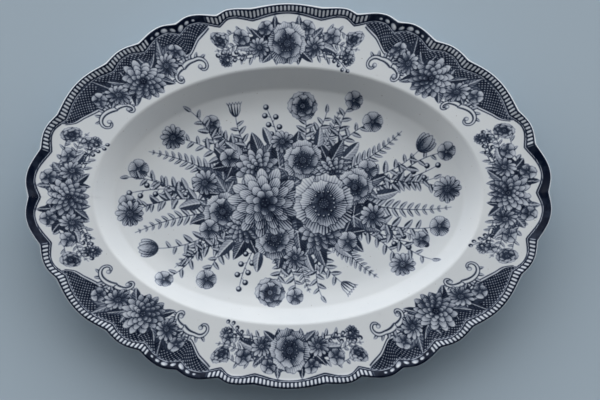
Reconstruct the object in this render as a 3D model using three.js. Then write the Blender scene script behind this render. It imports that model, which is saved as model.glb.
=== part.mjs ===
// Oval meat platter: one pressed and fired piece of earthenware, lying face up on its foot ring.
// Millimetres. +X runs along the platter, +Z is up, and the origin is under its middle, on the table.
import * as THREE from 'three';
import { LoftGeometry } from 'three/addons/geometries/LoftGeometry.js';

// Plan of the edge: an oval, and the scallops that ride on it
const OVAL_LENGTH = 357;
const OVAL_WIDTH = 265;
// One quarter of the scallops, from the end of the platter to the middle of its long side. Each pair is
// a place along the oval, in degrees, and how far the edge lies inside the oval there. Notches and
// crests take turns, from the notch on the long axis to the crest on the short one.
const SCALLOPS = [
  [0, 1.7], [6, -0.5], [15, 3.9], [21, 1.4],
  [26, 3.4], [37, 0.2], [45, 2.8], [50, 0.8],
  [54.5, 2.8], [61, -1.4], [64.5, 0.6], [68, -1.7],
  [74, 2.7], [77, 0.3], [82, 1.8], [90, 0],
];
const NOTCH_PINCH = 1.25; // 1 makes even waves, more draws each notch in to a point
const FLANK_STEPS = 3; // from a notch to the next crest

// Widths across the section, from the edge inwards
const LIP_WIDTH = 8; // edge to the flat of the rim
const RIM_WIDTH = 44.5; // edge to shoulder, along the sides
const WALL_RUN = 12; // shoulder to heel, level
const COVE_RUN = 11; // heel to floor, level
const END_WIDENING = 1.05; // all of these are this much wider at the ends
const FOOT_SETBACK = 9; // heel of the outside to the foot ring
const FOOT_WIDTH = 5;
const FOOT_DRAFT = 1; // each side of the foot ring leans this much, so that it leaves the mould

// Heights, from the table up
const FOOT_HEIGHT = 3;
const FLOOR_THICKNESS = 5;
const COVE_RISE = 3.4; // floor to heel
const WELL_DEPTH = 18.5; // floor to the flat of the rim
const LIP_RISE = 1.9; // the flat of the rim to the edge

const WALL_THICKNESS = 5.5;
const RIM_THICKNESS = 5; // and the diameter of the round edge
const LIP_RADIUS = 12; // from the rim up into the lip
const SHOULDER_RADIUS = 3; // from the rim down into the well
const HEEL_RADIUS = 5; // from the wall out onto the cove
const COVE_RADIUS = 38; // from the cove out onto the floor
const OUTSIDE_RADIUS = 8; // under the shoulder and at the heel of the outside
const CORNER_STEPS = 3;
const LIP_STEPS = 2;
const EDGE_STEPS = 4;

// A point of the section: how far inside the edge it lies, and its height.
const sectionPoint = (inset, height) => new THREE.Vector2(inset, height);

// The arc that rounds a corner, kept short enough for the straight stretch on each side of it.
function roundedCorner(before, corner, after, radius, steps = CORNER_STEPS) {
  const back = before.clone().sub(corner);
  const ahead = after.clone().sub(corner);
  const longestReach = Math.min(back.length(), ahead.length()) / 2;
  back.normalize();
  ahead.normalize();
  const halfAngle = Math.acos(back.dot(ahead)) / 2;
  const reach = Math.min(radius / Math.tan(halfAngle), longestReach);
  const start = corner.clone().addScaledVector(back, reach);
  const middleLine = back.clone().add(ahead).normalize();
  const centre = corner.clone().addScaledVector(middleLine, reach / Math.cos(halfAngle));
  const sweep = -Math.sign(back.cross(ahead)) * (Math.PI - 2 * halfAngle);
  const arc = [];
  for (let step = 0; step <= steps; step++) {
    arc.push(start.clone().rotateAround(centre, sweep * step / steps));
  }
  return arc;
}

// The section, from the hollow inside the foot ring, round the edge, to the floor of the well.
function platterSection() {
  const floorHeight = FOOT_HEIGHT + FLOOR_THICKNESS;
  const rimHeight = floorHeight + WELL_DEPTH;
  const edgeHeight = rimHeight + LIP_RISE;
  const edgeRadius = RIM_THICKNESS / 2;

  // Inside: a low lip, the flat rim, the wall, and a shallow cove that leads out onto the floor
  const edgeTop = sectionPoint(edgeRadius, edgeHeight);
  const lipFoot = sectionPoint(LIP_WIDTH, rimHeight);
  const shoulder = sectionPoint(RIM_WIDTH, rimHeight);
  const heel = sectionPoint(RIM_WIDTH + WALL_RUN, floorHeight + COVE_RISE);
  const cove = sectionPoint(heel.x + COVE_RUN, floorHeight);
  const floor = sectionPoint(cove.x + COVE_RADIUS, floorHeight);

  // Outside: the wall's back is a line at the wall's thickness from its face
  const wall = heel.clone().sub(shoulder).normalize();
  const wallBack = shoulder.clone().addScaledVector(sectionPoint(wall.y, -wall.x), WALL_THICKNESS);
  const wallBackAt = (height) =>
    wallBack.clone().addScaledVector(wall, (height - wallBack.y) / wall.y);
  const edgeUnder = sectionPoint(edgeRadius, edgeHeight - RIM_THICKNESS);
  const lipUnder = sectionPoint(LIP_WIDTH, rimHeight - RIM_THICKNESS);
  const shoulderUnder = wallBackAt(rimHeight - RIM_THICKNESS);
  const heelUnder = wallBackAt(FOOT_HEIGHT);

  // Foot ring
  const footOutside = sectionPoint(heelUnder.x + FOOT_SETBACK, FOOT_HEIGHT);
  const footOuterSole = sectionPoint(footOutside.x + FOOT_DRAFT, 0);
  const footInnerSole = sectionPoint(footOuterSole.x + FOOT_WIDTH, 0);
  const footInside = sectionPoint(footInnerSole.x + FOOT_DRAFT, FOOT_HEIGHT);

  // Round edge, from its underside over to its top
  const edgeCentre = sectionPoint(edgeRadius, edgeHeight - edgeRadius);
  const edge = [];
  for (let step = 0; step <= EDGE_STEPS; step++) {
    edge.push(edgeUnder.clone().rotateAround(edgeCentre, -Math.PI * step / EDGE_STEPS));
  }

  return [
    footInside, footInnerSole, footOuterSole, footOutside,
    ...roundedCorner(footOutside, heelUnder, shoulderUnder, OUTSIDE_RADIUS),
    ...roundedCorner(heelUnder, shoulderUnder, lipUnder, OUTSIDE_RADIUS),
    ...roundedCorner(shoulderUnder, lipUnder, edgeUnder, LIP_RADIUS, LIP_STEPS),
    ...edge,
    ...roundedCorner(edgeTop, lipFoot, shoulder, LIP_RADIUS, LIP_STEPS),
    ...roundedCorner(lipFoot, shoulder, heel, SHOULDER_RADIUS),
    ...roundedCorner(shoulder, heel, cove, HEEL_RADIUS),
    ...roundedCorner(heel, cove, floor, COVE_RADIUS),
  ];
}

// Places round the whole edge: an angle along the oval, and the scallop's inset there.
function edgePlaces() {
  const quarter = [];
  for (let flank = 0; flank + 1 < SCALLOPS.length; flank++) {
    const [startAngle, startInset] = SCALLOPS[flank];
    const [endAngle, endInset] = SCALLOPS[flank + 1];
    const leavesNotch = flank % 2 === 0;
    for (let step = 0; step < FLANK_STEPS; step++) {
      const along = step / FLANK_STEPS;
      const fromNotch = leavesNotch ? along : 1 - along;
      const swell = Math.sin(fromNotch * Math.PI / 2) ** NOTCH_PINCH;
      quarter.push({
        angle: THREE.MathUtils.degToRad(THREE.MathUtils.lerp(startAngle, endAngle, along)),
        inset: THREE.MathUtils.lerp(startInset, endInset, leavesNotch ? swell : 1 - swell),
      });
    }
  }
  const [, lastInset] = SCALLOPS[SCALLOPS.length - 1];
  const half = [
    ...quarter,
    { angle: Math.PI / 2, inset: lastInset },
    ...quarter.slice(1).reverse().map(({ angle, inset }) => ({ angle: Math.PI - angle, inset })),
  ];
  return [...half, ...half.map(({ angle, inset }) => ({ angle: angle + Math.PI, inset }))];
}

// One ring of the platter. The scallops fade out across the rim, so the well is a plain oval.
function ring({ x: inset, y: height }, places) {
  const scalloped = Math.max(0, 1 - inset / RIM_WIDTH);
  return places.map((place) => {
    const pull = inset + place.inset * scalloped;
    return new THREE.Vector3(
      (OVAL_LENGTH / 2 - pull * END_WIDENING) * Math.cos(place.angle),
      (OVAL_WIDTH / 2 - pull) * Math.sin(place.angle),
      height,
    );
  });
}

// A ring drawn together to one point, which closes the underside or the floor in its middle.
function middle({ y: height }, places) {
  return places.map(() => new THREE.Vector3(0, 0, height));
}

function platterMesh() {
  const places = edgePlaces();
  const section = platterSection();
  const rings = [
    middle(section[0], places),
    ...section.map((point) => ring(point, places)),
    middle(section[section.length - 1], places),
  ];
  const geometry = new LoftGeometry(rings);
  const glaze = new THREE.MeshStandardMaterial({ color: 0xdde0e0, roughness: 0.12, metalness: 0 });
  const mesh = new THREE.Mesh(geometry, glaze);
  mesh.name = 'platter';
  return mesh;
}

const meatPlatter = new THREE.Group();
meatPlatter.add(platterMesh());

export default meatPlatter;
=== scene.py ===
# %% [markdown]
# # A scalloped meat platter, printed in blue
# The real platter is one piece of pressed earthenware. Its white body is fired, a picture in dark blue is
# rubbed onto it from printed tissue, and a clear glaze is melted over everything. This lesson follows the
# same order: shape the clay, engrave and print the tissues, lay them on the clay, and glaze it.
#
# The solid model comes first, as a fixed frame: its box says where the platter is, and the finished clay
# has to fill the same space.

import bpy
import numpy as np
from mathutils import Matrix, Vector


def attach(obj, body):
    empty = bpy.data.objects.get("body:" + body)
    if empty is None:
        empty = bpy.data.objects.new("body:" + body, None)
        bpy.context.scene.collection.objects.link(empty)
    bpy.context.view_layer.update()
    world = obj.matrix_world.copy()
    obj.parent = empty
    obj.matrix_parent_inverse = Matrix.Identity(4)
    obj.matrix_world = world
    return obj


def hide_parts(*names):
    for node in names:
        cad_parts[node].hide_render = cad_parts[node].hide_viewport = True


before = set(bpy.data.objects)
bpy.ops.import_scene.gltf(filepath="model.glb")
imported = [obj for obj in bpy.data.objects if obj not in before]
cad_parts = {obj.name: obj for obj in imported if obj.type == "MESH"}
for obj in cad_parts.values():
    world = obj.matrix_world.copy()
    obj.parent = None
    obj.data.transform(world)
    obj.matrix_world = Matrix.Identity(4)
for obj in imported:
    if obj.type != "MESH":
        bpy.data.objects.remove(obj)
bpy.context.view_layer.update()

# %% [markdown]
# ## Camera, floor and light
# The camera comes first, because every later choice of detail depends on how large the platter is in the
# picture. It looks down on the platter from in front, a few degrees off square, from far away, so the
# oval keeps its shape. All sizes below are in millimetres and are turned into metres by `MM`.

# %% Camera
MM = 0.001
PICTURE_WIDTH = 600  # pixels
PIXELS_PER_MM = 1.477  # at the rim
VIEW_DISTANCE = 2980
VIEW_TILT = np.radians(9.4)  # away from straight above, towards the front
VIEW_ROLL = np.radians(-0.5)
EDGE_HEIGHT = 25.5  # about where the round edge is widest
PICTURE_CENTRE = (7.8, -3.4, EDGE_HEIGHT)  # the place on the platter in the middle of the picture

camera_data = bpy.data.cameras.new("camera")
camera_data.sensor_width = 36
camera_data.lens = PIXELS_PER_MM * VIEW_DISTANCE * camera_data.sensor_width / PICTURE_WIDTH
camera = bpy.data.objects.new("camera", camera_data)
bpy.context.collection.objects.link(camera)
bpy.context.scene.camera = camera
away = Vector((0, -np.sin(VIEW_TILT), np.cos(VIEW_TILT)))
turn = Matrix.Rotation(VIEW_TILT, 4, "X") @ Matrix.Rotation(VIEW_ROLL, 4, "Z")
camera.matrix_world = Matrix.Translation(MM * (Vector(PICTURE_CENTRE) + VIEW_DISTANCE * away)) @ turn
print("lens, mm:", round(camera_data.lens, 1))

# %% [markdown]
# The floor is a plain pale sheet of paper, large enough to reach the horizon in every view.

# %% Floor
FLOOR_SIZE = 12000
FLOOR_COLOUR = (0.45, 0.545, 0.625, 1)
FLOOR_ROUGHNESS = 0.9


def new_material(name):
    """A material with its Principled BSDF, ready for nodes."""
    material = bpy.data.materials.new(name)
    material.use_nodes = True
    return material, material.node_tree, material.node_tree.nodes["Principled BSDF"]


half_floor = MM * FLOOR_SIZE / 2
floor_mesh = bpy.data.meshes.new("floor")
corners = [(-half_floor, -half_floor, 0), (half_floor, -half_floor, 0)]
corners += [(half_floor, half_floor, 0), (-half_floor, half_floor, 0)]
floor_mesh.from_pydata(corners, [], [(0, 1, 2, 3)])
floor = bpy.data.objects.new("floor", floor_mesh)
bpy.context.collection.objects.link(floor)
floor_material, _, floor_skin = new_material("floor_paper")
floor_skin.inputs["Base Color"].default_value = FLOOR_COLOUR
floor_skin.inputs["Roughness"].default_value = FLOOR_ROUGHNESS
floor_mesh.materials.append(floor_material)

# %% [markdown]
# Glossy things are photographed in a tent of white cloth: no lamp shows in the glaze as a hard spot, only
# a slow change from dim to bright. The widest panel of this tent glows low behind the platter, and a
# smaller one at each end. It is dim overhead and in front, so the far wall of the well is dark, the near
# wall is bright and the dark print is not washed out by reflections.

# %% Light tent
TENT_COLOUR = (0.97, 0.985, 1.0, 1)
TENT_DIM = 0.045
PANELS = [  # degrees round from straight behind, degrees up, cosine at which its glow ends, strength
    (0, 2, 0.01, 2.05),
    (79, 7, 0.70, 1.35),
    (-79, 7, 0.70, 1.35),
]


def add_node(tree, kind, **settings):
    """A new node, with its settings, or the values of its inputs by name."""
    node = tree.nodes.new(kind)
    for name, value in settings.items():
        if name in node.inputs:
            node.inputs[name].default_value = value
        else:
            setattr(node, name, value)
    return node


def feed(tree, socket, value):
    """Links a socket to an input, or sets the input to a plain value."""
    if isinstance(value, bpy.types.NodeSocket):
        tree.links.new(value, socket)
    else:
        socket.default_value = value


def reckon(tree, operation, first, second):
    """One step of sums on two values, each a socket or a number."""
    node = add_node(tree, "ShaderNodeMath", operation=operation)
    feed(tree, node.inputs[0], first)
    feed(tree, node.inputs[1], second)
    return node.outputs[0]


def grade(tree, value, low, high, to_low=0.0, to_high=1.0):
    """Stretches a value from one range to another, and clips it."""
    node = add_node(tree, "ShaderNodeMapRange")
    tree.links.new(value, node.inputs["Value"])
    for name, number in zip(("From Min", "From Max", "To Min", "To Max"), (low, high, to_low, to_high)):
        node.inputs[name].default_value = number
    return node.outputs["Result"]


world = bpy.data.worlds.new("light_tent")
world.use_nodes = True
tent = world.node_tree
way = add_node(tent, "ShaderNodeTexCoord").outputs["Generated"]
glow = TENT_DIM
for degrees_round, degrees_up, glow_end, strength in PANELS:
    around, up = np.radians((degrees_round, degrees_up))
    towards = add_node(tent, "ShaderNodeVectorMath", operation="DOT_PRODUCT")
    tent.links.new(way, towards.inputs[0])
    towards.inputs[1].default_value = np.sin(around) * np.cos(up), np.cos(around) * np.cos(up), np.sin(up)
    panel_glow = grade(tent, towards.outputs["Value"], glow_end, 1, 0, strength)
    glow = reckon(tent, "ADD", glow, panel_glow)
cloth = tent.nodes["Background"]
feed(tent, cloth.inputs["Color"], TENT_COLOUR)
tent.links.new(glow, cloth.inputs["Strength"])
bpy.context.scene.world = world
bpy.context.scene.view_settings.view_transform = "Standard"
print("panels in the light tent:", len(PANELS))

# %% [markdown]
# ## The shape of the clay
# A platter like this is pressed over an oval mould. Its edge is an oval with scallops: sixteen places in
# one quarter, notch and crest in turn, and the other three quarters mirror them. A subdivided oval would
# round the notches off, so the outline is worked out place by place: `scallop` gives how far the edge
# lies inside the plain oval at any angle.

# %% The scalloped edge
OVAL_LENGTH, OVAL_WIDTH = 357, 265
SCALLOPS = [  # degrees along the oval, inset
    (0, 1.7), (6, -0.5), (15, 3.9), (21, 1.4), (26, 3.4), (37, 0.2), (45, 2.8), (50, 0.8),
    (54.5, 2.8), (61, -1.4), (64.5, 0.6), (68, -1.7), (74, 2.7), (77, 0.3), (82, 1.8), (90, 0),
]
NOTCH_PINCH = 1.25
TURN = 2 * np.pi
ANGLE_COUNT = 7201


def scallop(angle):
    """How far inside the plain oval the edge lies, and from 0 to 1 how close a place is to a crest."""
    quarter = np.degrees(np.abs(np.arcsin(np.sin(angle))))
    degrees, insets = np.array(SCALLOPS).T
    flank = np.clip(np.searchsorted(degrees, quarter, side="right") - 1, 0, len(degrees) - 2)
    along = (quarter - degrees[flank]) / (degrees[flank + 1] - degrees[flank])
    leaves_notch = flank % 2 == 0
    swell = np.sin(np.where(leaves_notch, along, 1 - along) * np.pi / 2) ** NOTCH_PINCH
    notch = np.where(leaves_notch, insets[flank], insets[flank + 1])
    crest = np.where(leaves_notch, insets[flank + 1], insets[flank])
    return notch + (crest - notch) * swell, swell


fine_angles = np.linspace(0, TURN, ANGLE_COUNT)
edge_steps = np.hypot(
    np.diff(OVAL_LENGTH / 2 * np.cos(fine_angles)), np.diff(OVAL_WIDTH / 2 * np.sin(fine_angles))
)
edge_shares = np.concatenate([[0], np.cumsum(edge_steps)]) / edge_steps.sum()


def angle_at(share):
    """The angle along the oval at a share of the way round its edge."""
    return np.interp(share, edge_shares, fine_angles)


print("way round the edge, mm:", round(edge_steps.sum(), 1))

# %% [markdown]
# The section is a path from the widest part of the edge over the rim and down into the well, and another
# from the same place under the rim to the foot ring. Straight stretches meet in arcs, as a mould's do. The
# wall doesn't run straight into the floor: a shallow cove lies between them, so light breaks there in a
# clear line.

# %% The section
RIM_WIDTH, WALL_RUN, COVE_RUN = 44.5, 12, 11
END_WIDENING = 1.05  # the rim is this much wider at the ends than along the sides
FOOT_SETBACK, FOOT_WIDTH, FOOT_DRAFT = 9, 5, 1
FOOT_HEIGHT, FLOOR_THICKNESS, COVE_RISE, WELL_DEPTH = 3, 5, 3.4, 18.5
WALL_THICKNESS, RIM_THICKNESS, EDGE_ROUND = 5.5, 5, 1.2
SHOULDER_RADIUS, HEEL_RADIUS, COVE_RADIUS, OUTSIDE_RADIUS, SOLE_RADIUS = 3, 5, 38, 8, 0.8
SOLE_STEPS = 8
FLOOR_HEIGHT = FOOT_HEIGHT + FLOOR_THICKNESS
RIM_HEIGHT = FLOOR_HEIGHT + WELL_DEPTH


def rounded(before, corner, after, radius, steps=24):
    """The arc that rounds a corner between two straight stretches."""
    back, ahead = np.subtract(before, corner), np.subtract(after, corner)
    longest = min(np.linalg.norm(back), np.linalg.norm(ahead)) / 2
    back, ahead = back / np.linalg.norm(back), ahead / np.linalg.norm(ahead)
    half_angle = np.arccos(back @ ahead) / 2
    reach = min(radius / np.tan(half_angle), longest)
    middle = (back + ahead) / np.linalg.norm(back + ahead)
    centre = np.array(corner) + middle * reach / np.cos(half_angle)
    start = np.array(corner) + back * reach - centre
    sweep = -np.sign(back[0] * ahead[1] - back[1] * ahead[0]) * (np.pi - 2 * half_angle)
    turns = sweep * np.linspace(0, 1, steps)[:, None]
    sideways = np.array([-start[1], start[0]])
    return centre + np.cos(turns) * start + np.sin(turns) * sideways


def round_edge(last, reach, steps=16):
    """A quarter of the round edge, from its widest part up or down to where the rim is flat."""
    turns = np.linspace(0, last, steps)
    half = RIM_THICKNESS / 2
    return np.stack([reach - reach * np.cos(turns), RIM_HEIGHT - half + half * np.sin(turns)], 1)


edge_top = (EDGE_ROUND, RIM_HEIGHT)
edge_under = (RIM_THICKNESS / 2, RIM_HEIGHT - RIM_THICKNESS)
shoulder = (RIM_WIDTH, RIM_HEIGHT)
heel = (RIM_WIDTH + WALL_RUN, FLOOR_HEIGHT + COVE_RISE)
cove = (heel[0] + COVE_RUN, FLOOR_HEIGHT)
on_floor = (cove[0] + COVE_RADIUS, FLOOR_HEIGHT)
face_path = np.vstack([
    round_edge(np.pi / 2, EDGE_ROUND),
    rounded(edge_top, shoulder, heel, SHOULDER_RADIUS),
    rounded(shoulder, heel, cove, HEEL_RADIUS),
    rounded(heel, cove, on_floor, COVE_RADIUS),
])

wall = np.subtract(heel, shoulder) / np.linalg.norm(np.subtract(heel, shoulder))
wall_back = np.array(shoulder) + WALL_THICKNESS * np.array([wall[1], -wall[0]])


def wall_back_at(height):
    """The place on the outside of the wall at a height."""
    return wall_back + wall * (height - wall_back[1]) / wall[1]


shoulder_under = wall_back_at(RIM_HEIGHT - RIM_THICKNESS)
heel_under = wall_back_at(FOOT_HEIGHT)
foot_out = heel_under + (FOOT_SETBACK, 0)
sole_out = (foot_out[0] + FOOT_DRAFT, 0)
sole_in = (sole_out[0] + FOOT_WIDTH, 0)
foot_in = (sole_in[0] + FOOT_DRAFT, FOOT_HEIGHT)
in_recess = (foot_in[0] + FOOT_WIDTH, FOOT_HEIGHT)
under_path = np.vstack([
    round_edge(-np.pi / 2, RIM_THICKNESS / 2),
    rounded(edge_under, shoulder_under, heel_under, OUTSIDE_RADIUS),
    rounded(shoulder_under, heel_under, foot_out, OUTSIDE_RADIUS),
    rounded(heel_under, foot_out, sole_out, SOLE_RADIUS, SOLE_STEPS),
    rounded(foot_out, sole_out, sole_in, SOLE_RADIUS, SOLE_STEPS),
    rounded(sole_out, sole_in, foot_in, SOLE_RADIUS, SOLE_STEPS),
    rounded(sole_in, foot_in, in_recess, SOLE_RADIUS, SOLE_STEPS),
    [in_recess],
])
print("well floor starts", round(face_path[-1][0], 1), "mm in from the edge")

# %% [markdown]
# The print will be stored on the points of the mesh, so the face needs points about as close as the
# finest lines. A lathe-like grid would crowd them in the middle. Instead the clay is built ring by ring,
# each with as many points as its length needs, and each ring is zipped to the next one by triangles.
# The underside has no print and gets wider steps.

# %% Rings round the platter
FACE_STEP = 0.5
UNDER_STEP, UNDER_STEP_ROUND = 0.9, 2.2
RECESS_STEP = 4
FEWEST_POINTS = 8  # in a ring


def walk(path, step):
    """Evenly spaced places along a path."""
    far = np.concatenate([[0], np.cumsum(np.hypot(*np.diff(path, axis=0).T))])
    stops = np.linspace(0, far[-1], int(np.ceil(far[-1] / step)) + 1)
    return np.stack([np.interp(stops, far, path[:, side]) for side in (0, 1)], 1)


def ring_points(inset, height, scale, step):
    """The points of one ring: place, share of the way round, and inset from the edge."""
    half_length = scale * (OVAL_LENGTH / 2 - inset * END_WIDENING)
    half_width = scale * (OVAL_WIDTH / 2 - inset)
    way_round = np.pi * (3 * (half_length + half_width) - np.sqrt(
        (3 * half_length + half_width) * (half_length + 3 * half_width)))
    count = max(int(way_round / step), FEWEST_POINTS) if scale else 1
    share = np.arange(count) / count
    angle = angle_at(share)
    pull = inset + scallop(angle)[0] * max(0, 1 - inset / RIM_WIDTH)
    x = scale * (OVAL_LENGTH / 2 - pull * END_WIDENING) * np.cos(angle)
    y = scale * (OVAL_WIDTH / 2 - pull) * np.sin(angle)
    return np.stack([x, y, np.full(count, height), share, np.full(count, inset)], 1)


def side_rings(path, step, step_round, middle_step):
    """All rings of the face or of the underside, from the edge to a single point in the middle."""
    rings = [ring_points(inset, height, 1, step_round) for inset, height in walk(path, step)]
    inset, height = path[-1]
    for scale in np.linspace(1, 0, int((OVAL_LENGTH / 2 - inset) / middle_step) + 1)[1:]:
        rings.append(ring_points(inset, height, scale, max(step_round, middle_step)))
    return rings


face_rings = side_rings(face_path, FACE_STEP, FACE_STEP, FACE_STEP)
under_rings = side_rings(under_path, UNDER_STEP, UNDER_STEP_ROUND, RECESS_STEP)[1:]
points = np.vstack(face_rings + under_rings)
face_count = sum(map(len, face_rings))
print("points on the face:", face_count, "and under it:", len(points) - face_count)

# %% Zip the rings together


def zip_rings(first, first_count, second, second_count):
    """Triangles between two rings, given where each starts in the list of points."""
    first_edge, second_edge = np.arange(first_count), np.arange(second_count)
    first_middle = (first_edge + 0.5) / first_count
    second_middle = (second_edge + 0.5) / second_count
    across = second + np.searchsorted(second_middle, first_middle) % second_count
    triangles = [np.stack([first + first_edge, first + (first_edge + 1) % first_count, across], 1)]
    if second_count > 1:
        across = first + np.searchsorted(first_middle, second_middle) % first_count
        ahead = second + (second_edge + 1) % second_count
        triangles.append(np.stack([second + second_edge, across, ahead], 1))
    return np.vstack(triangles)


def zip_side(starts, counts):
    """Triangles of a whole side."""
    pairs = zip(starts, counts, starts[1:], counts[1:])
    return np.vstack([zip_rings(*pair) for pair in pairs])


counts = [len(ring) for ring in face_rings + under_rings]
starts = np.concatenate([[0], np.cumsum(counts)[:-1]]).tolist()
face_ring_count = len(face_rings)
face_triangles = zip_side(starts[:face_ring_count], counts[:face_ring_count])
under_starts, under_counts = starts[:1] + starts[face_ring_count:], counts[:1] + counts[face_ring_count:]
under_triangles = zip_side(under_starts, under_counts)[:, ::-1]
print("triangles:", len(face_triangles) + len(under_triangles))

# %% [markdown]
# The edge turns up in a low lip, so it is dark on the far side of the platter and bright on the near side,
# as the wall of the well is. The lip is gadrooned: most of it carries a row of small round ribs, which the
# print picks out as bare tongues. Each notch of the outline is pinched up a little more. None of this is
# as much as three millimetres high, but a gloss glaze shows it.

# %% Lip, pinches and ribs
LIP_RISE, LIP_WIDTH = 1.9, 8
PINCH_HEIGHT = 0.8
RIBS = 360  # if they went round the whole edge
RIBBED = [(14.8, 56.6), (71.2, 90.5)]  # degrees along the oval, in each quarter
RIB_HEIGHT, RIB_START, RIB_END = 0.3, 0.9, 6.1
RIB_FULLNESS = 0.7  # less than 1 makes its ends blunter


def ribbed(share):
    """1 where the edge carries ribs, at a share of the way round, and 0 where it is plain."""
    quarter = np.degrees(np.abs(np.arcsin(np.sin(angle_at(share % 1)))))
    return sum((quarter > first) & (quarter < last) for first, last in RIBBED)


from_crest = 1 - scallop(angle_at(points[:, 3]))[1]
lip = 0.5 + 0.5 * np.cos(np.pi * np.clip(points[:, 4] / LIP_WIDTH, 0, 1))
points[:, 2] += (LIP_RISE + PINCH_HEIGHT * from_crest**2) * lip

share_round, inset_from_edge = points[:face_count, 3], points[:face_count, 4]
from_crest = from_crest[:face_count]
rib = (0.5 - 0.5 * np.cos(share_round * RIBS * TURN)) * ribbed(share_round)
across_rib = np.clip((inset_from_edge - RIB_START) / (RIB_END - RIB_START), 0, 1)
points[:face_count, 2] += RIB_HEIGHT * np.sqrt(rib) * np.sin(across_rib * np.pi) ** RIB_FULLNESS
print("highest place, mm:", round(points[:, 2].max(), 2))

# %% [markdown]
# ## The print
# The picture on such a platter isn't painted. An engraver cuts it into a copper plate, the plate prints it
# on thin tissue, and the wet tissue is rubbed onto the fired clay. Shader nodes could draw stripes and
# dots, but not a bouquet, so this lesson keeps the maker's way: a `Tissue` is a fine grid of ink, and each
# engraver's mark is a small function that lays ink on it. A mark that is laid later covers what is below.

# %% Tissue
MARKS_PER_MM = 4
INKED = 0.4  # more ink than this counts as printed


class Tissue:
    """A sheet of printing tissue, in millimetres. Its grid holds ink, from 0 (bare) to 1 (full)."""

    def __init__(self, low, high):
        self.low = np.array(low, float)
        columns, rows = np.ceil((np.array(high) - self.low) * MARKS_PER_MM).astype(int) + 1
        self.ink = np.zeros((rows, columns), np.float32)

    def patch(self, at, reach, turn=0.0):
        """The grid within reach of a place, and how far each mark lies along and across a turned axis."""
        start = np.floor((np.array(at) - reach - self.low) * MARKS_PER_MM).astype(int)
        stop = np.ceil((np.array(at) + reach - self.low) * MARKS_PER_MM).astype(int)
        left, bottom = np.maximum(start, 0)
        right, top = np.minimum(stop, self.ink.shape[::-1])
        x = self.low[0] + np.arange(left, right) / MARKS_PER_MM - at[0]
        y = (self.low[1] + np.arange(bottom, top) / MARKS_PER_MM - at[1])[:, None]
        cosine, sine = np.cos(turn), np.sin(turn)
        return np.s_[bottom:top, left:right], x * cosine + y * sine, y * cosine - x * sine

    def lay(self, box, shape, ink, line=0.36, line_ink=1.0):
        """Covers the inside of a shape, where its field is below 1, with ink, and draws its outline."""
        if min(shape.shape) < 3:
            return
        slope = np.hypot(*np.gradient(shape)) * MARKS_PER_MM + 1e-6
        depth = (1 - shape) / slope
        cover = np.clip(depth * MARKS_PER_MM + 0.5, 0, 1)
        edge = np.clip((line - depth) * MARKS_PER_MM + 0.5, 0, 1)
        ink = np.clip(ink, 0, 1)
        self.ink[box] += cover * (ink + edge * (line_ink - ink) - self.ink[box])

    def stroke(self, points, width, ink=0.95):
        """Draws a line through points. Its width may change along it."""
        points = np.asarray(points, float)
        reach = np.broadcast_to(np.asarray(width, float) / 2, len(points))
        span = int(np.ceil(reach.max() * MARKS_PER_MM)) + 1
        step = np.arange(-span, span + 1)
        place = (points - self.low) * MARKS_PER_MM
        column = np.rint(place[:, 0]).astype(int)[:, None, None] + step[None, None, :]
        row = np.rint(place[:, 1]).astype(int)[:, None, None] + step[None, :, None]
        far = np.hypot(column - place[:, 0, None, None], row - place[:, 1, None, None])
        cover = np.clip(reach[:, None, None] * MARKS_PER_MM - far + 0.5, 0, 1)
        row, column = np.broadcast_arrays(row, column)
        rows, columns = self.ink.shape
        keep = (cover > 0) & (row >= 0) & (row < rows) & (column >= 0) & (column < columns)
        mask = np.zeros_like(self.ink)
        np.maximum.at(mask, (row[keep], column[keep]), cover[keep])
        self.ink += mask * (ink - self.ink)


# %% [markdown]
# Tone is cut, not mixed: an engraver shades with lines that swell where the tone is darker. No two
# strokes of a hand are alike either, so petals and leaves wander a little. The draws come from a
# generator with a fixed seed, so the plate is the same each time.

# %% Engraver's lines
chance = np.random.default_rng(7)
LIGHT_FROM = np.radians(125)  # upper left
LINE_CRISPNESS = 1.6
STEPS_PER_MARK = 1.5  # along a line


def wander(amount):
    """A small change, up or down."""
    return chance.uniform(-amount, amount)


def hatch(phase, tone):
    """Engraved lines, a full turn apart, as wide as the tone asks for."""
    cut = np.cos(np.pi * np.clip(tone, 0.0, 1.0))
    return np.clip(0.5 + LINE_CRISPNESS * (np.cos(phase) - cut), 0, 1)


def toward(turn):
    """The direction of a turn."""
    return np.array([np.cos(turn), np.sin(turn)])


def ring_of(count, start):
    """Evenly spaced turns round a flower."""
    return start + np.arange(count) * TURN / count


def vine(at, heading, length, curl=0.0, tighten=0.0):
    """A line that sets off at a heading and turns steadily, or tighter and tighter. Gives headings too."""
    count = max(int(length * MARKS_PER_MM * STEPS_PER_MARK), 4)
    share = np.linspace(0, 1, count)
    headings = heading + curl * share + tighten * share**3
    steps = length / (count - 1) * toward(headings).T
    return np.array(at) + np.vstack([[0, 0], np.cumsum(steps[:-1], 0)]), headings


def blade(tissue, at, turn, length, width, belly, point, bend=0.0, ripple=0.0):
    """The field of a petal or leaf that grows from a place, and how far along and across it marks lie."""
    box, along, across = tissue.patch(at, np.hypot(length, width), turn)
    along = along * (1 + ripple * np.cos(across * 3 * TURN / width))
    share = np.clip(along / length, 0.002, 0.998)
    across = across - bend * length * share**2
    half = width / 2 * (4 * share**belly * (1 - share**belly)) ** point
    outside = np.abs(along / length - 0.5) > 0.5
    return box, share, across, np.where(outside, 2.0, np.minimum(np.abs(across) / half, 2.0))


# %% Petals, leaves and berries


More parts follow.
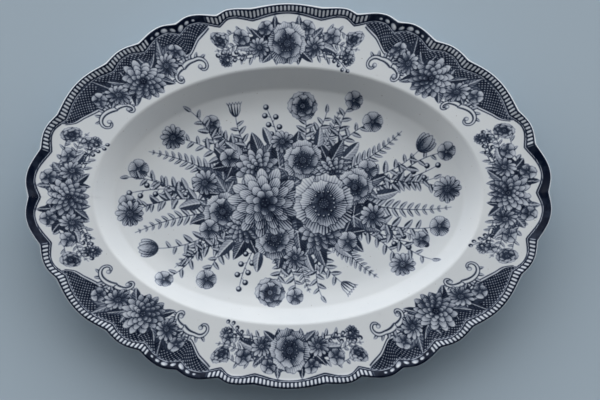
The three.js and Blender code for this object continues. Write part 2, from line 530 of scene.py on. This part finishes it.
def petal(tissue, at, turn, length, width, belly, point, throat, rays, ripple=0.0):
    """A petal: dark in the throat, with rays and stipple that thin out towards a bare lip."""
    box, share, across, shape = blade(tissue, at, turn, length, width, belly, point, 0.0, ripple)
    side = across / (width / 2 * (0.25 + 0.75 * share))
    away = 0.5 - 0.5 * np.cos(turn - LIGHT_FROM)
    tone = throat * (1 - share) ** 1.1 + 0.3 * away * np.clip(side + 0.3, 0, 1) + 0.12 * away
    stipple = 0.66 * throat * (1 - share) ** 0.7 + 0.2 * away - 0.06
    tissue.lay(box, shape, np.maximum(hatch(side * np.pi * rays, tone), stipple))


LEAF_DARK, LEAF_LIGHT, LEAF_VEIN = 0.8, 0.45, 0.08
LEAF_OUTLINE = 0.25


def leaf(tissue, at, turn, length, width=None, bend=0.12):
    """A pointed leaf: one half in shade, with a bare midrib and side veins."""
    width = width or 0.44 * length
    box, share, across, shape = blade(tissue, at, turn, length, width, 0.72, 0.72, bend)
    veins = np.cos((share * length - 1.1 * np.abs(across)) * TURN / max(0.16 * length, 1.5))
    ink = np.where(across > 0, LEAF_DARK, LEAF_LIGHT) - 0.3 * np.clip(veins * 2 - 1.1, 0, 1)
    ink = np.where(np.abs(across) < 0.022 * length + 0.1, LEAF_VEIN, ink)
    tissue.lay(box, shape, ink, LEAF_OUTLINE)


LOBES = [(0, 1.0), (0.95, 0.8), (-0.95, 0.8), (1.95, 0.55), (-1.95, 0.55)]  # lean, reach
LOBE_SPREAD = 0.62
LOBE_DARK, LOBE_LIGHT, LOBE_VEIN = 0.95, 0.68, 0.06
LOBE_VEIN_WIDTH, LOBE_OUTLINE = 0.24, 0.3
FAR_OFF = 9.0


def lobed_leaf(tissue, at, turn, size):
    """A dark leaf with five pointed lobes, and a bare vein up each."""
    box, along, across = tissue.patch(at, 1.15 * size, turn)
    far, around = np.hypot(along, across), np.arctan2(across, along)
    shape, vein = np.full(far.shape, 2.0), np.full(far.shape, FAR_OFF)
    for lean, reach in LOBES:
        swing = np.clip(np.abs(around - lean) / LOBE_SPREAD, 0, 1)
        edge = size * reach * (0.42 + 0.58 * (1 - swing) ** 1.35)
        shape = np.minimum(shape, far / edge)
        off_vein = np.where(swing < 1, np.abs(np.sin(around - lean)) * far, FAR_OFF)
        vein = np.minimum(vein, off_vein)
    ribs = np.cos((far - 1.4 * vein) * TURN / 2.1)
    ink = np.where(across > 0, LOBE_DARK, LOBE_LIGHT) - 0.45 * np.clip(ribs * 2 - 1.2, 0, 1)
    ink = np.where(vein < LOBE_VEIN_WIDTH, LOBE_VEIN, ink)
    tissue.lay(box, shape, ink, LOBE_OUTLINE)


def berry(tissue, at, radius, ink=0.8):
    """A berry or seed: a dark outline, and a bare glint on its lit side."""
    box, along, across = tissue.patch(at, radius + 0.6, LIGHT_FROM)
    lit = np.hypot(along - 0.4 * radius, across) / radius
    tissue.lay(box, np.hypot(along, across) / radius, ink * (1.6 * lit - 0.25), 0.25)


# %% Flowers


def heart(tissue, at, radius, rings=3):
    """The middle of an open flower: a dark disc, with rings of bare seeds on it."""
    box, along, across = tissue.patch(at, radius + 0.6)
    tissue.lay(box, np.hypot(along, across) / radius, 0.95)
    for ring in range(1, rings):
        for turn in ring_of(5 * ring, ring):
            berry(tissue, np.array(at) + radius * ring / rings * toward(turn), 0.5, 0.0)


def dahlia(tissue, at, radius, turn=0.0):
    """A full flower of pointed petals, laid ring inside ring."""
    for ring, (share, count) in enumerate(((1.0, 13), (0.78, 11), (0.56, 9), (0.36, 7))):
        for spoke in ring_of(count, turn + ring * 0.31):
            length = radius * share * (1 + wander(0.05))
            width = 1.5 * np.pi * length / count
            petal(tissue, at, spoke + wander(0.05), length, width, 1.7, 0.62, 0.95, 5)
    heart(tissue, at, 0.15 * radius, 2)


def poppy(tissue, at, radius, turn=0.0, count=6):
    """An open flower of broad crimped petals round a ring of stamens."""
    for ring in (1.0, 0.74):
        for spoke in ring_of(count, turn + ring * 2):
            length = ring * radius * (1 + wander(0.05))
            petal(tissue, at, spoke + wander(0.06), length, 6.0 * length / count, 1.9, 0.5, 0.85, 9, 0.035)
    for spoke in ring_of(16, turn):
        reach = radius * (0.38 + wander(0.05))
        line = np.array(at) + np.outer(np.linspace(0.2 * radius, reach, 12), toward(spoke))
        tissue.stroke(line, 0.35)
        berry(tissue, line[-1], 0.05 * radius + 0.15, 1.0)
    heart(tissue, at, 0.2 * radius)


def daisy(tissue, at, radius, turn=0.0, count=12):
    """A flower of narrow pale petals round a seeded heart."""
    for spoke in ring_of(count, turn):
        spoke = spoke + wander(0.08)
        petal(tissue, at, spoke, radius * (1 + wander(0.07)), 0.48 * radius, 1.4, 0.5, 0.7, 3)
    heart(tissue, at, 0.28 * radius)


def blossom(tissue, at, radius, turn=0.0):
    """A small flower of five round petals."""
    for spoke in ring_of(5, turn + wander(0.3)):
        petal(tissue, at, spoke, radius * (1 + wander(0.06)), 1.05 * radius, 2.2, 0.5, 0.6, 5)
    heart(tissue, at, 0.2 * radius, 2)


def tulip(tissue, at, heading, length):
    """A cup of pointed petals, seen from the side."""
    for lean in (0.45, -0.45, 0.22, -0.22, 0.0):
        reach = length * (1 - 0.15 * abs(lean))
        petal(tissue, at, heading + lean, reach, 0.46 * length, 0.9, 0.75, 0.6, 5)


def bell(tissue, at, heading, length):
    """A bellflower that hangs from a place: a round shoulder, a waist, and a mouth with pointed lips."""
    box, along, across = tissue.patch(at, 1.3 * length, heading)
    share = np.clip(along / length, 0, 1.2)
    half = length * (0.34 * np.sqrt(np.clip(share * 2.5, 0, 1)) + 0.2 * share**4 + 0.02)
    side = across / half
    lip = 1 - 0.14 * np.cos(side * np.pi * 2.5) ** 2
    shape = np.maximum(np.abs(side), np.maximum(share / lip, np.where(along < 0, 2, 0)))
    tone = 0.75 * (1 - share) + 0.5 * np.clip(side, 0, 1) ** 2
    tissue.lay(box, np.minimum(shape, 2), hatch(side * np.pi * 4, tone))


# %% Sprays


def sprig(tissue, at, heading, length, curl, leaves, size, tip, tip_size):
    """A curving stem with leaves on both sides that shrink towards its tip, and a flower or leaf there."""
    line, headings = vine(at, heading, length, curl)
    tissue.stroke(line, np.linspace(0.7, 0.35, len(line)))
    for number in range(leaves):
        place = int((0.12 + 0.8 * number / leaves) * (len(line) - 1))
        side = 1 if number % 2 else -1
        reach = size * (1 - 0.45 * number / leaves) * (1 + wander(0.12))
        leaf(tissue, line[place], headings[place] + side * (0.85 + wander(0.15)), reach, bend=0.15 * side)
    if tip in (tulip, bell):
        tip(tissue, line[-1], headings[-1], tip_size)
    elif tip:
        tip(tissue, line[-1] + 0.4 * tip_size * toward(headings[-1]), tip_size)
    else:
        leaf(tissue, line[-1], headings[-1], 0.65 * size)


def fern(tissue, at, heading, length, curl, size, pairs):
    """A frond: a stem with close pairs of narrow leaflets that shrink to its tip."""
    line, headings = vine(at, heading, length, curl)
    tissue.stroke(line, np.linspace(0.65, 0.35, len(line)))
    for pair in range(pairs):
        share = (pair + 0.6) / (pairs + 0.4)
        place = int(share * (len(line) - 1))
        reach = size * (1 - share) ** 0.75 + 0.8
        for side in (-1, 1):
            leaf(tissue, line[place], headings[place] + side, reach, 0.3 * reach + 0.4, -0.12 * side)


def berries(tissue, at, heading, length, count, size):
    """A spray of berries on short stalks."""
    line, headings = vine(at, heading, length, 0.5)
    tissue.stroke(line, 0.45)
    for number in range(count):
        place = int((0.25 + 0.75 * number / (count - 1)) * (len(line) - 1))
        side = (1 if number % 2 else -1) * (0.9 if number < count - 1 else 0)
        stalk, _ = vine(line[place], headings[place] + side, 2.2 * size)
        tissue.stroke(stalk, 0.35)
        berry(tissue, stalk[-1], size)


# %% [markdown]
# ## The border
# The border is printed as a straight strip and laid round the rim, so the engraver works it flat: along
# the strip is the way round the platter, and down is the way in from the edge. Bare tongues on a dark band
# follow the moulded ribs, with bare beads between some of them. Below them, four seeded panels and four
# sprays of flowers take turns.

# %% Edge band
STRIP_LENGTH = 860  # the way round the middle of the rim
STRIP_OVERLAP = 60  # printed at both ends, so the join has no gap
TONGUE_START, TONGUE_LENGTH, TONGUE_WIDTH = 2, 4.6, 1.5
TONGUE_INK, TONGUE_SHADE = 0.08, 0.4
BAND_START, BAND_END = 0.8, 9.2
BAND_LINE, BAND_LINE_WIDTH = 7.6, 0.6
BAND_INK, BAND_LINE_INK = 0.98, 0.06
BEAD_PLACES = [58, 59.6, 61.4, 63.3, 65.2, 67, 68.6]  # degrees along the oval, in each quarter
BEAD_SIZES = [1.3, 1.8, 2.3, 1.8, 2.3, 1.8, 1.3]
BEAD_DEPTH, BEAD_INK = 5.2, 0.3

border = Tissue((-STRIP_OVERLAP, -RIM_WIDTH - 1), (STRIP_LENGTH + STRIP_OVERLAP, 1))
rows, columns = border.ink.shape
from_edge = -(border.low[1] + np.arange(rows) / MARKS_PER_MM)[:, None]
along_strip = border.low[0] + np.arange(columns) / MARKS_PER_MM
rib_pitch = STRIP_LENGTH / RIBS
beside = ((along_strip / rib_pitch) % 1 - 0.5) * rib_pitch
off_middle = np.abs(from_edge - TONGUE_START - TONGUE_LENGTH / 2)
beyond = np.maximum(off_middle - (TONGUE_LENGTH - TONGUE_WIDTH) / 2, 0)
tongue = np.clip((TONGUE_WIDTH / 2 - np.hypot(beyond, beside)) * MARKS_PER_MM + 0.5, 0, 1)
tongue_ink = TONGUE_INK + TONGUE_SHADE * np.clip(2 * beside / TONGUE_WIDTH, 0, 1) ** 2
band = ((from_edge > BAND_START) & (from_edge < BAND_END)).astype(float)
on_line = np.abs(from_edge - BAND_LINE - BAND_LINE_WIDTH / 2) < BAND_LINE_WIDTH / 2
band *= np.where(on_line, BAND_LINE_INK, BAND_INK)
border.ink[:] = band + tongue * ribbed(along_strip / STRIP_LENGTH) * (tongue_ink - band)
bead_shares = np.interp(np.radians(BEAD_PLACES), fine_angles, edge_shares)
for half in (0, 0.5):
    for share, size in zip(bead_shares, BEAD_SIZES):
        for place in (half + share, half + 0.5 - share):
            berry(border, (STRIP_LENGTH * place, -BEAD_DEPTH), size, BEAD_INK)
print("beads in the edge band:", 4 * len(BEAD_PLACES))

# %% Seeded panels
PANEL_REACH, PANEL_DEPTH, PANEL_WAVE = 58, 20, 1.8
SEED_PITCH, SEED_SIZE, SEED_INK = 2.3, 0.42, 0.15
FRAME_WIDTH, FRAME_INK = 1.7, 0.04
RULE_WIDTH, RULE_GAP = 0.7, 1.9


def panel_edge(along):
    """How far in from the edge of the platter a panel ends, along its length."""
    side = np.clip(along / PANEL_REACH, -1, 1)
    swell = PANEL_DEPTH * (1 - np.abs(side) ** 2.4) ** 0.75
    return BAND_END + swell + PANEL_WAVE * np.abs(np.cos(3 * np.pi * side)) * (1 - side**2)


def scroll(at, heading, length, side):
    """A bare scroll with a dark outline that curls up at its end, with small leaves on its back."""
    line, headings = vine(at, heading, length, 0.9 * side, 4.6 * side)
    width = np.linspace(3.8, 1.9, len(line))
    for share in (0.1, 0.24, 0.38, 0.52):
        place = int(share * (len(line) - 1))
        leaf(border, line[place], headings[place] - side * 1.1, 6.5 - 4 * share, 3.2 - 2 * share)
    border.stroke(line, width, 1.0)
    border.stroke(line, width - 1.2, 0.03)
    shade = line + 0.25 * side * width[:, None] * np.stack([-np.sin(headings), np.cos(headings)], 1)
    border.stroke(shade, 0.5, 0.85)
    berry(border, line[-1], 1.7, 0.4)


def panel(middle):
    """A dark panel of bare seeds under the edge band, with flowers on it and scrolls below it."""
    box, along, across = border.patch((middle, 0), PANEL_REACH + 8)
    rising, falling = (along + across) / SEED_PITCH, (along - across) / SEED_PITCH
    from_seed = np.hypot(rising % 1 - 0.5, falling % 1 - 0.5) * SEED_PITCH / np.sqrt(2)
    ink = np.clip(0.5 + (from_seed - SEED_SIZE) * MARKS_PER_MM, SEED_INK, 1)
    inside = (-across > BAND_END - 0.5) & (np.abs(along) < PANEL_REACH)
    border.lay(box, np.where(inside, -across / panel_edge(along), 2.0), ink, FRAME_WIDTH, FRAME_INK)
    rule = np.linspace(-PANEL_REACH + 1, PANEL_REACH - 1, 600)
    for gap in (0, RULE_GAP):
        border.stroke(np.stack([middle + rule, gap - panel_edge(rule)], 1), RULE_WIDTH, 1.0)
    up = np.pi / 2
    for side in (-1, 1):
        scroll((middle + side * 30, -31), up - side * 1.08, 29, -side)
        scroll((middle + side * 28, -31), up + side * 1.83, 18, side)
        sprig(border, (middle + side * 8, -29), up - side * 1.75, 25, side * 0.9, 7, 6.5, blossom, 4)
        lobed_leaf(border, (middle + side * 20, -20), up - side * 1.3, 15)
        lobed_leaf(border, (middle + side * 9, -22), up - side * 0.8, 13)
        lobed_leaf(border, (middle + side * 8, -29), -up + side * 0.8, 14)
        lobed_leaf(border, (middle + side * 20, -25), -up + side * 1.2, 12)
        blossom(border, (middle + side * 31, -20), 5.0, side)
        daisy(border, (middle + side * 20, -25), 8.0, side)
    lobed_leaf(border, (middle, -31), -up, 11)
    dahlia(border, (middle, -27), 15, 0.4)


panel_middles = STRIP_LENGTH * (np.arange(-1, 5) + 0.5) / 4
for middle in panel_middles:
    panel(middle)
print("seeded panels at, mm along the strip:", panel_middles[1:-1])

# %% Rim sprays


def rim_spray(middle, flower):
    """A large flower with sprays to both sides of it."""
    up = np.pi / 2
    for side in (-1, 1):
        out = up - side * up
        fern(border, (middle + side * 10, -27), out + side * 0.1, 42, side * -0.2, 8, 11)
        sprig(border, (middle + side * 10, -22), out + side * 0.35, 34, -side * 0.5, 8, 7, poppy, 6)
        sprig(border, (middle + side * 8, -31), out - side * 0.35, 37, side * 0.5, 8, 7, daisy, 5)
        sprig(border, (middle + side * 22, -31), out - side * 0.45, 22, side * 0.9, 5, 5.5, blossom, 4)
        berries(border, (middle + side * 28, -32), out - side * 0.2, 20, 7, 1.5)
        lobed_leaf(border, (middle + side * 8, -18), up - side * 0.9, 11)
        lobed_leaf(border, (middle + side * 9, -31), -up + side * 0.9, 14)
        lobed_leaf(border, (middle + side * 17, -24), out, 15)
        leaf(border, (middle + side * 22, -27), out - side * 0.17, 14, 6.5)
        daisy(border, (middle + side * 20, -28.5), 7.6, side)
        blossom(border, (middle + side * 31, -21), 5.4, side)
        blossom(border, (middle + side * 14, -16), 5, side)
    flower(border, (middle, -27.5), 14, 0.3)


for number in range(5):
    rim_spray(STRIP_LENGTH * number / 4, poppy if number % 2 else dahlia)
print("inked share of the border:", round(float((border.ink > INKED).mean()), 2))

# %% [markdown]
# ## The bouquet
# The well holds one loose bouquet, laid from the back to the front: long sprays all round first, then dark
# leaves, then flowers, the largest last. Sprays start on one oval and end on a larger one. The leaves and
# flowers are placed twice, the second time half a turn round, so the bouquet is balanced without being a
# mirror picture.

# %% Sprays of the bouquet
BOUQUET_REACH = (125, 82)
SPRAY_START, SPRAY_END = np.array([48, 24]), np.array([107, 62])
SPRAY_COUNT = 14
SPRAY_CURL = 0.8
SPRAY_TIPS = [(daisy, 9.5), (tulip, 14), (blossom, 7), (poppy, 10), (bell, 10), (daisy, 8.5), (blossom, 7)]

bouquet = Tissue(np.negative(BOUQUET_REACH), BOUQUET_REACH)


def outward(turn, reach):
    """Where a spray sets off at a turn round the bouquet, its heading, and how long it is."""
    start = SPRAY_START * toward(turn)
    way = reach * (SPRAY_END - SPRAY_START) * toward(turn)
    return start, np.arctan2(way[1], way[0]), np.hypot(*way)


for number, turn in enumerate(ring_of(SPRAY_COUNT, 0.35)):
    start, heading, length = outward(turn, 1.08)
    if number % 3:
        fern(bouquet, start, heading - 0.2, length, 0.4, 10, 12)
    else:
        berries(bouquet, start, heading - 0.25, 0.9 * length, 9, 1.9)
for number, turn in enumerate(ring_of(SPRAY_COUNT, 0.12)):
    start, heading, length = outward(turn, 1.0)
    curl = SPRAY_CURL if number % 2 else -SPRAY_CURL
    flower, size = SPRAY_TIPS[number % len(SPRAY_TIPS)]
    shoot = None if number % 2 else blossom
    line, headings = vine(start, heading - curl / 2, length, curl)
    place = int(0.42 * len(line))
    sprig(bouquet, line[place], headings[place] - curl, 0.7 * length, curl, 7, 9, shoot, 6)
    sprig(bouquet, start, heading - curl / 2, length, curl, 11, 10, flower, size)

# %% Leaves and flowers of the bouquet
LOBED_LEAVES = [  # x, y, heading, size
    (-44, 12, 150, 22), (-18, 28, 110, 20), (4, 28, 80, 20), (28, 24, 60, 20), (48, 9, 20, 20),
    (0, 8, 90, 16), (-38, 24, 135, 18), (42, -4, -5, 20), (-6, 22, 97, 20), (12, 18, 60, 16),
]
LEAVES = [(-60, -2, 185, 15), (-32, 30, 130, 15), (38, 28, 40, 15), (-12, 38, 105, 13), (20, 36, 75, 14)]
FLOWERS = [  # x, y, turn, kind, size
    (-57, 12, 10, daisy, 9), (-40, 29, 30, blossom, 7), (-4, 40, 0, daisy, 8), (54, 20, 50, blossom, 7),
    (-45, -8, 15, poppy, 13), (10, 27, 40, poppy, 14), (-21, 21, 0, dahlia, 15), (30, 18, 20, dahlia, 12),
]


def both_ways(places):
    """Each place, and the same place half a turn round: where it is, its heading, and the rest."""
    for half_turn in (0, 1):
        for x, y, heading, *rest in places:
            flip = -1 if half_turn else 1
            yield (flip * x, flip * y), np.radians(heading) + half_turn * np.pi, rest


for at, heading, (size,) in both_ways(LOBED_LEAVES):
    lobed_leaf(bouquet, at, heading, size)
for at, heading, (size,) in both_ways(LEAVES):
    leaf(bouquet, at, heading, size, 0.5 * size)
for at, turn, (flower, size) in both_ways(FLOWERS):
    flower(bouquet, at, size, turn)
dahlia(bouquet, (-16, -2), 25, 0.2)
poppy(bouquet, (24, -3), 21, 0.4)
print("inked share of the bouquet:", round(float((bouquet.ink > INKED).mean()), 2))

# %% [markdown]
# ## Lay the tissues on the clay
# The border strip is laid round the rim and the oval sheet into the well. The printer pulls the strip
# outwards at each crest of the edge, so the band is narrower there. The strip has also slipped a little to
# the near side, as transfers do: print reaches the near edge, and the bare white line left along the far
# edge is a painted highlight there. Each point of the face then reads the ink at its own place. Reading
# between four marks of the grid keeps the lines soft, as ink that has sunk into a porous body is.

# %% Read the ink


def soften(ink):
    """Spreads each mark a little into its neighbours."""
    for axis in (0, 1):
        ink = (np.roll(ink, 1, axis) + 2 * ink + np.roll(ink, -1, axis)) / 4
    return ink


def ink_at(tissue, x, y):
    """The ink of a tissue at places on it. Beyond its sides it is bare."""
    ink = soften(tissue.ink)
    rows, columns = ink.shape
    column = np.clip((x - tissue.low[0]) * MARKS_PER_MM, 0, columns - 1.001)
    row = np.clip((y - tissue.low[1]) * MARKS_PER_MM, 0, rows - 1.001)
    left, below = column.astype(int), row.astype(int)
    right_share, above_share = column - left, row - below
    lower = ink[below, left] * (1 - right_share) + ink[below, left + 1] * right_share
    upper = ink[below + 1, left] * (1 - right_share) + ink[below + 1, left + 1] * right_share
    return lower * (1 - above_share) + upper * above_share


BAND_PINCH = 0.4  # how much closer to the edge the band lies at a crest
BAND_PINCH_END = 32
# how far the strip is shifted to the near side; the bare line this leaves along the far edge is a painted
# highlight
PAINTED_HIGHLIGHT_SLIP = 0.7

crest_pull = np.minimum(BAND_END / (1 + BAND_PINCH), inset_from_edge) * BAND_PINCH
pull_fade = (BAND_PINCH_END - inset_from_edge) / (BAND_PINCH_END - BAND_END / (1 + BAND_PINCH))
inset_on_strip = inset_from_edge + (1 - from_crest) * crest_pull * np.clip(pull_fade, 0, 1)
# shift the strip to the near side: bare glaze along the far edge, a painted highlight
inset_on_strip -= PAINTED_HIGHLIGHT_SLIP * np.sin(angle_at(share_round))
on_rim = inset_from_edge < RIM_WIDTH
face_x, face_y = points[:face_count, 0], points[:face_count, 1]
print_ink = np.zeros(len(points), np.float32)
print_ink[:face_count] = np.where(
    on_rim,
    ink_at(border, share_round * STRIP_LENGTH, -inset_on_strip),
    ink_at(bouquet, face_x, face_y),
)
print("inked share of the face:", round(float((print_ink[:face_count] > INKED).mean()), 2))

# %% [markdown]
# ## One mesh for the whole platter
# Points, triangles, ink and finish all go into one closed mesh. It gets a map called OFBake as well, laid
# out flat with the face large and the underside small beside it, so that the print stays sharp wherever
# the finish is turned into a picture.

# %% The platter
GLAZED_FACE, GLAZED_UNDER, BARE_SOLE = range(3)
SOLE_LEVEL = 0.25
MAP_MARGIN = 0.006
MAP_SPARE = 1  # for crests that reach beyond the plain oval
MAP_SCALE = (1 - 2 * MAP_MARGIN) / (OVAL_LENGTH + 2 * MAP_SPARE)
UNDER_MAP_SHARE, UNDER_MAP_HEIGHT = 0.3, 0.78

triangles = np.vstack([face_triangles, under_triangles])
platter_mesh = bpy.data.meshes.new("platter_clay")
platter_mesh.from_pydata(MM * points[:, :3], [], triangles)
platter_mesh.attributes.new("print", "FLOAT", "POINT").data.foreach_set("value", print_ink)

finish = np.full(len(triangles), GLAZED_UNDER, np.int32)
finish[:len(face_triangles)] = GLAZED_FACE
finish[points[triangles, 2].max(1) < SOLE_LEVEL] = BARE_SOLE
platter_mesh.polygons.foreach_set("material_index", finish)
platter_mesh.shade_smooth()

flat_place = points[triangles.ravel(), :2] + (OVAL_LENGTH / 2 + MAP_SPARE, OVAL_WIDTH / 2 + MAP_SPARE)
flat_place = MAP_MARGIN + flat_place * MAP_SCALE
of_face = np.repeat(np.arange(len(triangles)) < len(face_triangles), 3)[:, None]
under_place = flat_place * UNDER_MAP_SHARE + (0, 1 - UNDER_MAP_SHARE * UNDER_MAP_HEIGHT)
bake_map = np.where(of_face, flat_place, under_place)
platter_mesh.uv_layers.new(name="OFBake").data.foreach_set("uv", bake_map.astype(np.float32).ravel())
platter_mesh.validate()

platter = bpy.data.objects.new("printed_platter", platter_mesh)
bpy.context.collection.objects.link(platter)
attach(platter, "root")
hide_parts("platter")
print("platter:", len(platter_mesh.vertices), "points,", len(platter_mesh.polygons), "faces")

# %% [markdown]
# ## Glaze, print and bare clay
# The glaze lies over the face and the underside alike, so what it does is one node group that both finishes
# share: a faint cloudiness in the white, a few pin-prick specks, and a slow ripple in the gloss. The
# print is only on the face. The sole of the foot ring is wiped clean before firing and shows bare clay.

# %% The glaze's own skin
GLAZE_WHITE = (0.785, 0.815, 0.835, 1)
GLAZE_CLOUD = (0.725, 0.765, 0.80, 1)
SPECK_COLOUR = (0.30, 0.27, 0.24, 1)
SPECK_STRENGTH = 0.6
SMOOTHEST, ROUGHEST = 0.1, 0.17
CLOUDS, SPECKS, GLOSS_PATCHES, RIPPLES = 28, 700, 90, 55  # per metre


def mix_colour(tree, share, first, second):
    """Mixes two colours, given as sockets or values, by a share."""
    node = add_node(tree, "ShaderNodeMix", data_type="RGBA")
    feed(tree, node.inputs["Factor"], share)
    feed(tree, node.inputs[6], first)
    feed(tree, node.inputs[7], second)
    return node.outputs[2]


def noise(tree, scale, detail):
    """Soft noise at so many ripples per metre."""
    node = add_node(tree, "ShaderNodeTexNoise", Scale=scale, Detail=detail)
    place = add_node(tree, "ShaderNodeNewGeometry").outputs["Position"]
    tree.links.new(place, node.inputs["Vector"])
    return node.outputs["Fac"]


glaze_skin = bpy.data.node_groups.new("glaze_skin", "ShaderNodeTree")
glaze_skin.interface.new_socket("Cloudiness", in_out="INPUT", socket_type="NodeSocketFloat")
glaze_skin.interface.new_socket("White", in_out="OUTPUT", socket_type="NodeSocketColor")
glaze_skin.interface.new_socket("Roughness", in_out="OUTPUT", socket_type="NodeSocketFloat")
glaze_skin.interface.new_socket("Ripple", in_out="OUTPUT", socket_type="NodeSocketFloat")
inside = glaze_skin.nodes.new("NodeGroupInput")
outside = glaze_skin.nodes.new("NodeGroupOutput")
drift = grade(glaze_skin, noise(glaze_skin, CLOUDS, 3.0), 0.38, 0.68)
cloud = reckon(glaze_skin, "MULTIPLY", drift, inside.outputs["Cloudiness"])
white = mix_colour(glaze_skin, cloud, GLAZE_WHITE, GLAZE_CLOUD)
speck = grade(glaze_skin, noise(glaze_skin, SPECKS, 1.0), 0.775, 0.80, 0, SPECK_STRENGTH)
glaze_skin.links.new(mix_colour(glaze_skin, speck, white, SPECK_COLOUR), outside.inputs["White"])
gloss = grade(glaze_skin, noise(glaze_skin, GLOSS_PATCHES, 2.0), 0.35, 0.7, SMOOTHEST, ROUGHEST)
glaze_skin.links.new(gloss, outside.inputs["Roughness"])
glaze_skin.links.new(noise(glaze_skin, RIPPLES, 1.5), outside.inputs["Ripple"])
print("shared effect:", glaze_skin.name)

# %% [markdown]
# The print is cobalt ink under the glaze: nearly black-blue where the plate was cut deep, slate where it
# was cut fine. The ink takes unevenly, so its strength wanders, and a little of it bleeds into the glaze
# and stains the white beside each line blue.

# %% Printed glaze
INK_DEEP = (0.003, 0.007, 0.021, 1)
INK_THIN = (0.07, 0.095, 0.15, 1)
GLAZE_STAIN = (0.727, 0.779, 0.878, 1)
GLAZE_SHEEN = 0.15  # low, so that the dark print stays dark
GLAZE_IOR = 1.45
RIPPLE_DEPTH, RIPPLE_STRENGTH = 0.00004, 0.35
FACE_CLOUDINESS, UNDER_CLOUDINESS = 0.6, 1.0
INK_PATCHES = 160  # per metre
INK_WEAKEST, INK_STRONGEST = 0.84, 1.06


def glaze_on(material_name, cloudiness):
    """A gloss material with the shared glaze skin, and its tree, skin and shader."""
    material, tree, shader = new_material(material_name)
    skin = add_node(tree, "ShaderNodeGroup", node_tree=glaze_skin)
    skin.inputs["Cloudiness"].default_value = cloudiness
    tree.links.new(skin.outputs["Roughness"], shader.inputs["Roughness"])
    ripple = add_node(tree, "ShaderNodeBump", Strength=RIPPLE_STRENGTH, Distance=RIPPLE_DEPTH)
    tree.links.new(skin.outputs["Ripple"], ripple.inputs["Height"])
    tree.links.new(ripple.outputs["Normal"], shader.inputs["Normal"])
    shader.inputs["IOR"].default_value = GLAZE_IOR
    shader.inputs["Specular IOR Level"].default_value = GLAZE_SHEEN
    return material, tree, skin, shader


printed_glaze, tree, skin, shader = glaze_on("printed_glaze", FACE_CLOUDINESS)
ink = add_node(tree, "ShaderNodeAttribute", attribute_name="print").outputs["Fac"]
strength = grade(tree, noise(tree, INK_PATCHES, 4.0), 0.3, 0.7, INK_WEAKEST, INK_STRONGEST)
uneven = reckon(tree, "MULTIPLY", ink, strength)
ink_colour = mix_colour(tree, grade(tree, uneven, 0.45, 0.95), INK_THIN, INK_DEEP)
stained = mix_colour(tree, grade(tree, uneven, 0, 0.25), skin.outputs["White"], GLAZE_STAIN)
printed = mix_colour(tree, grade(tree, uneven, 0.04, 0.62), stained, ink_colour)
tree.links.new(printed, shader.inputs["Base Color"])
platter_mesh.materials.append(printed_glaze)

# %% Plain glaze and bare clay
CLAY_PALE = (0.72, 0.66, 0.56, 1)
CLAY_DARK = (0.52, 0.45, 0.36, 1)
GRAINS = 900  # per metre
PIT_DEPTH, PIT_STRENGTH = 0.0002, 0.6

plain_glaze, tree, skin, shader = glaze_on("plain_glaze", UNDER_CLOUDINESS)
tree.links.new(skin.outputs["White"], shader.inputs["Base Color"])
platter_mesh.materials.append(plain_glaze)

bare_clay, tree, shader = new_material("bare_clay")
grain = noise(tree, GRAINS, 4.0)
clay_colour = mix_colour(tree, grade(tree, grain, 0.35, 0.7), CLAY_PALE, CLAY_DARK)
tree.links.new(clay_colour, shader.inputs["Base Color"])
tree.links.new(grade(tree, grain, 0.3, 0.7, 0.75, 0.9), shader.inputs["Roughness"])
pits = add_node(tree, "ShaderNodeBump", Strength=PIT_STRENGTH, Distance=PIT_DEPTH)
tree.links.new(grain, pits.inputs["Height"])
tree.links.new(pits.outputs["Normal"], shader.inputs["Normal"])
platter_mesh.materials.append(bare_clay)
print("finishes:", [material.name for material in platter_mesh.materials])
